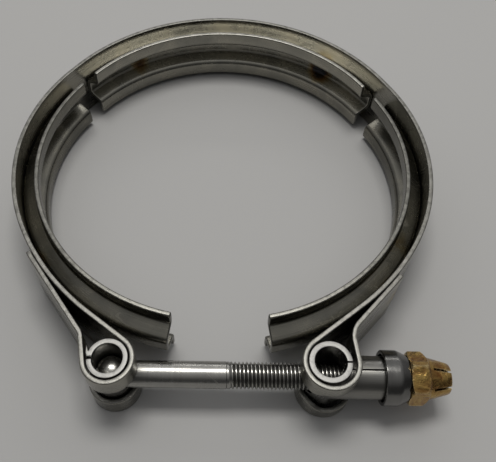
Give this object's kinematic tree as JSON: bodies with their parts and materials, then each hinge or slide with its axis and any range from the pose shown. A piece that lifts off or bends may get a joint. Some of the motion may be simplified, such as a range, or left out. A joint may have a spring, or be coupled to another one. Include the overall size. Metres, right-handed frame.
{
  "type": "v band clamp",
  "caption": "Open V-band clamp: sprung steel strap with grooved retainer segments, drawn together by a T-bolt, sleeved trunnion, collar and slotted lock nut.",
  "frame": {"origin": "centre of the back retainer's arc, on the ring axis in the middle plane of the groove", "axes": "+Z along the ring axis, square to the strap's edges; +X along the T-bolt from its head to the nut; -Y from the ring's centre towards the bolt"},
  "size_m": [0.1152, 0.1253, 0.019],
  "materials": {
    "strap_steel": "satin stainless strip, bright cut edges",
    "retainer_steel": "satin stainless, brown and blue heat tint at spot welds",
    "trunnion_steel": "rolled stainless sheet with bright sheared ends",
    "bolt_steel": "drawn shank, rolled thread",
    "collar_steel": "dark smooth steel",
    "nut_brass": "mottled golden brown plating"
  },
  "bodies": {
    "clamp_ring": {"band": "strap_steel", "retainer_back": "retainer_steel", "retainer_left": "retainer_steel", "retainer_right": "retainer_steel"},
    "bolt": {"trunnion_left": "trunnion_steel", "t_bolt": "bolt_steel"},
    "right_trunnion": {"trunnion_right": "trunnion_steel"},
    "collar": {"collar": "collar_steel"},
    "lock_nut": {"lock_nut": "nut_brass"}
  },
  "joints": [
    {"name": "bolt_swing", "type": "hinge", "parent": "clamp_ring", "child": "bolt", "pos_m": [-0.02513, -0.0626, 0], "axis": [0, 0, 1], "range_deg": [-0.25, 0.25]},
    {"name": "trunnion_turn", "type": "hinge", "parent": "clamp_ring", "child": "right_trunnion", "pos_m": [0.02478, -0.0626, 0], "axis": [0, 0, 1], "range_deg": [-0.6, 0.6]},
    {"name": "collar_slide", "type": "slide", "parent": "bolt", "child": "collar", "axis": [1, 0, 0], "range_m": [0, 0.00908]},
    {"name": "nut_turn", "type": "hinge", "parent": "collar", "child": "lock_nut", "pos_m": [0.04366, -0.0626, 0], "axis": [1, 0, 0], "range_deg": [0, 3600]}
  ],
  "couplings": [
    {"joint": "collar_slide", "follows": "nut_turn", "m_per_rad": 0.00014435}
  ]
}
